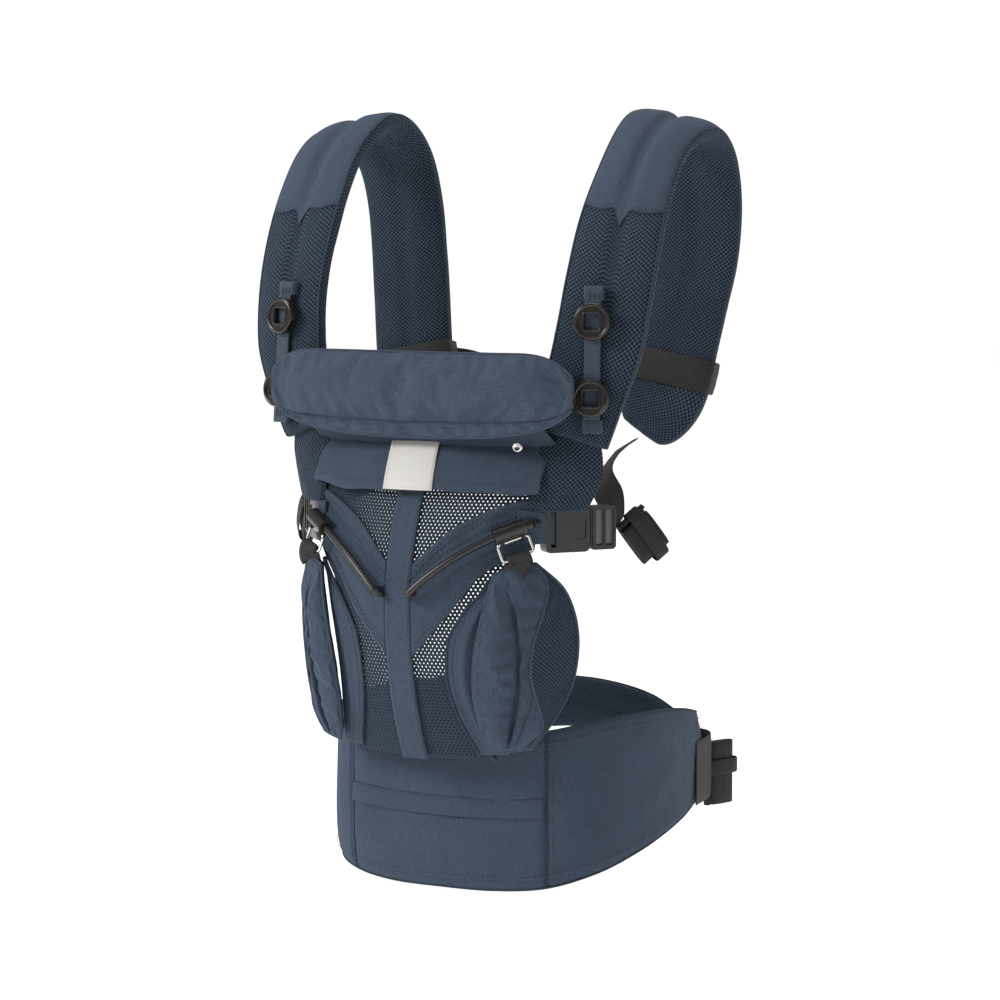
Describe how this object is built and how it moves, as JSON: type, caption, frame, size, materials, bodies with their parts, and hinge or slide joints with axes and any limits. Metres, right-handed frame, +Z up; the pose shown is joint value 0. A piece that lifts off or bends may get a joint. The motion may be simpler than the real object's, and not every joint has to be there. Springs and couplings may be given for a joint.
{
  "type": "soft baby carrier",
  "caption": "Worn front carrier for a baby: padded waist belt, curved body panel with leg pads and headrest, arched padded shoulder straps and release buckles.",
  "frame": {"origin": "on the axis of the wearer's trunk, level with the lower front edge of the waist belt", "axes": "+Z up along the trunk, -Y the way the outer face of the carrier looks, +X to the side on which the waist belt closes"},
  "size_m": [0.3344, 0.344, 0.581],
  "materials": {
    "cotton": "fine navy twill",
    "mesh": "spacer mesh",
    "webbing": "black woven webbing",
    "blue_webbing": "blue woven webbing",
    "foam": "closed-cell foam",
    "label": "plain woven label",
    "plastic": "satin",
    "rail": "smooth",
    "chrome": "polished"
  },
  "bodies": {
    "carrier": {"belt_front": "cotton", "belt_wing_right": "cotton", "belt_wing_left": "cotton", "belt_foam": "foam", "belt_lining_right": "mesh", "belt_lining_left": "mesh", "waist_web_right": "webbing", "waist_web_left": "webbing", "waist_housing": "plastic", "panel_mesh": "mesh", "panel_spine": "cotton", "hood_pocket": "cotton", "hood": "cotton", "label": "label", "yoke_right": "cotton", "yoke_left": "cotton", "gusset_right": "mesh", "gusset_left": "mesh", "leg_pad_right": "cotton", "leg_pad_left": "cotton", "rail_right": "rail", "rail_left": "rail", "strap_cover_right": "cotton", "strap_cover_left": "cotton", "strap_yoke_right": "mesh", "strap_yoke_left": "mesh", "strap_foam_right": "foam", "strap_foam_left": "foam", "strap_lining_right": "mesh", "strap_lining_left": "mesh", "ring_track_right": "blue_webbing", "ring_track_left": "blue_webbing", "shoulder_web_right": "webbing", "shoulder_web_left": "webbing", "shoulder_housing_right": "plastic", "shoulder_housing_left": "plastic"},
    "headrest": {"headrest": "cotton"},
    "ring_upper_right": {"ring_upper_right": "plastic"},
    "ring_lower_right": {"ring_lower_right": "plastic"},
    "slider_right": {"slider_right": "plastic"},
    "loop_right": {"loop_right": "chrome"},
    "ring_upper_left": {"ring_upper_left": "plastic"},
    "ring_lower_left": {"ring_lower_left": "plastic"},
    "slider_left": {"slider_left": "plastic"},
    "loop_left": {"loop_left": "chrome"},
    "shoulder_plug_right": {"shoulder_plug_right": "plastic"},
    "shoulder_prong_upper_right": {"shoulder_prong_upper_right": "plastic"},
    "shoulder_prong_lower_right": {"shoulder_prong_lower_right": "plastic"},
    "shoulder_plug_left": {"shoulder_plug_left": "plastic"},
    "shoulder_prong_upper_left": {"shoulder_prong_upper_left": "plastic"},
    "shoulder_prong_lower_left": {"shoulder_prong_lower_left": "plastic"},
    "waist_plug": {"waist_plug": "plastic"},
    "waist_prong_upper": {"waist_prong_upper": "plastic"},
    "waist_prong_lower": {"waist_prong_lower": "plastic"},
    "chest_right": {"chest_web_right": "webbing"},
    "chest_left": {"chest_web_left": "webbing", "chest_housing": "plastic"},
    "chest_plug": {"chest_plug": "plastic"},
    "chest_prong_upper": {"chest_prong_upper": "plastic"},
    "chest_prong_lower": {"chest_prong_lower": "plastic"}
  },
  "joints": [
    {"name": "headrest_fold", "type": "hinge", "parent": "carrier", "child": "headrest", "pos_m": [0, -0.152, 0.337], "axis": [1, 0, 0], "range_deg": [0, 90]},
    {"name": "ring_upper_right_slide", "type": "slide", "parent": "carrier", "child": "ring_upper_right", "axis": [-0.019, 0.0707, 0.9973], "range_m": [-0.008, 0.006]},
    {"name": "ring_lower_right_slide", "type": "slide", "parent": "carrier", "child": "ring_lower_right", "axis": [-0.019, 0.0707, 0.9973], "range_m": [-0.008, 0.012]},
    {"name": "slider_right_travel", "type": "hinge", "parent": "carrier", "child": "slider_right", "pos_m": [0.06047, -0.044, 0.14663], "axis": [0.6471, -0.5631, -0.5139], "range_deg": [-0.8, 25]},
    {"name": "loop_right_swing", "type": "hinge", "parent": "slider_right", "child": "loop_right", "pos_m": [0.08114, -0.1393, 0.26834], "axis": [-0.7538, -0.5734, -0.3209], "range_deg": [-10, 60]},
    {"name": "ring_upper_left_slide", "type": "slide", "parent": "carrier", "child": "ring_upper_left", "axis": [0.019, 0.0707, 0.9973], "range_m": [-0.008, 0.006]},
    {"name": "ring_lower_left_slide", "type": "slide", "parent": "carrier", "child": "ring_lower_left", "axis": [0.019, 0.0707, 0.9973], "range_m": [-0.008, 0.012]},
    {"name": "slider_left_travel", "type": "hinge", "parent": "carrier", "child": "slider_left", "pos_m": [-0.06047, -0.044, 0.14663], "axis": [0.6471, 0.5631, 0.5139], "range_deg": [-0.8, 25]},
    {"name": "loop_left_swing", "type": "hinge", "parent": "slider_left", "child": "loop_left", "pos_m": [-0.08114, -0.1393, 0.26834], "axis": [-0.7538, 0.5734, 0.3209], "range_deg": [-10, 60]},
    {"name": "shoulder_plug_right_pull", "type": "slide", "parent": "carrier", "child": "shoulder_plug_right", "axis": [0.6428, 0.766, 0], "range_m": [0, 0.028], "deforming": ["shoulder_web_right"]},
    {"name": "shoulder_prong_upper_right_squeeze", "type": "hinge", "parent": "shoulder_plug_right", "child": "shoulder_prong_upper_right", "pos_m": [0.11413, -0.08385, 0.283], "axis": [0.766, -0.6428, 0], "range_deg": [0, 7], "stiffness_Nm_per_rad": 0.05},
    {"name": "shoulder_prong_lower_right_squeeze", "type": "hinge", "parent": "shoulder_plug_right", "child": "shoulder_prong_lower_right", "pos_m": [0.11413, -0.08385, 0.265], "axis": [-0.766, 0.6428, 0], "range_deg": [0, 7], "stiffness_Nm_per_rad": 0.05},
    {"name": "shoulder_plug_left_pull", "type": "slide", "parent": "carrier", "child": "shoulder_plug_left", "axis": [-0.6428, 0.766, 0], "range_m": [0, 0.028], "deforming": ["shoulder_web_left"]},
    {"name": "shoulder_prong_upper_left_squeeze", "type": "hinge", "parent": "shoulder_plug_left", "child": "shoulder_prong_upper_left", "pos_m": [-0.11413, -0.08385, 0.283], "axis": [0.766, 0.6428, 0], "range_deg": [0, 7], "stiffness_Nm_per_rad": 0.05},
    {"name": "shoulder_prong_lower_left_squeeze", "type": "hinge", "parent": "shoulder_plug_left", "child": "shoulder_prong_lower_left", "pos_m": [-0.11413, -0.08385, 0.265], "axis": [-0.766, -0.6428, 0], "range_deg": [0, 7], "stiffness_Nm_per_rad": 0.05},
    {"name": "waist_plug_pull", "type": "slide", "parent": "carrier", "child": "waist_plug", "axis": [0.9511, -0.309, 0], "range_m": [0, 0.038], "deforming": ["waist_web_right"]},
    {"name": "waist_prong_upper_squeeze", "type": "hinge", "parent": "waist_plug", "child": "waist_prong_upper", "pos_m": [0.07219, 0.14794, 0.0885], "axis": [-0.309, -0.9511, 0], "range_deg": [0, 7], "stiffness_Nm_per_rad": 0.05},
    {"name": "waist_prong_lower_squeeze", "type": "hinge", "parent": "waist_plug", "child": "waist_prong_lower", "pos_m": [0.07219, 0.14794, 0.0455], "axis": [0.309, 0.9511, 0], "range_deg": [0, 7], "stiffness_Nm_per_rad": 0.05},
    {"name": "chest_right_height", "type": "slide", "parent": "carrier", "child": "chest_right", "axis": [0.1801, 0.1662, 0.9695], "range_m": [0, 0.022]},
    {"name": "chest_left_height", "type": "slide", "parent": "carrier", "child": "chest_left", "axis": [-0.1801, 0.1662, 0.9695], "range_m": [0, 0.022]},
    {"name": "chest_plug_pull", "type": "slide", "parent": "chest_right", "child": "chest_plug", "axis": [1, 0, 0], "range_m": [0, 0.026], "deforming": ["chest_web_right"]},
    {"name": "chest_prong_upper_squeeze", "type": "hinge", "parent": "chest_plug", "child": "chest_prong_upper", "pos_m": [0.0102, 0.098, 0.377], "axis": [0, -1, 0], "range_deg": [0, 7], "stiffness_Nm_per_rad": 0.05},
    {"name": "chest_prong_lower_squeeze", "type": "hinge", "parent": "chest_plug", "child": "chest_prong_lower", "pos_m": [0.0102, 0.098, 0.359], "axis": [0, 1, 0], "range_deg": [0, 7], "stiffness_Nm_per_rad": 0.05}
  ],
  "couplings": [
    {"joint": "shoulder_prong_lower_right_squeeze", "follows": "shoulder_prong_upper_right_squeeze", "ratio": 1},
    {"joint": "shoulder_prong_lower_left_squeeze", "follows": "shoulder_prong_upper_left_squeeze", "ratio": 1},
    {"joint": "waist_prong_lower_squeeze", "follows": "waist_prong_upper_squeeze", "ratio": 1},
    {"joint": "chest_left_height", "follows": "chest_right_height", "ratio": 1},
    {"joint": "chest_prong_lower_squeeze", "follows": "chest_prong_upper_squeeze", "ratio": 1}
  ]
}
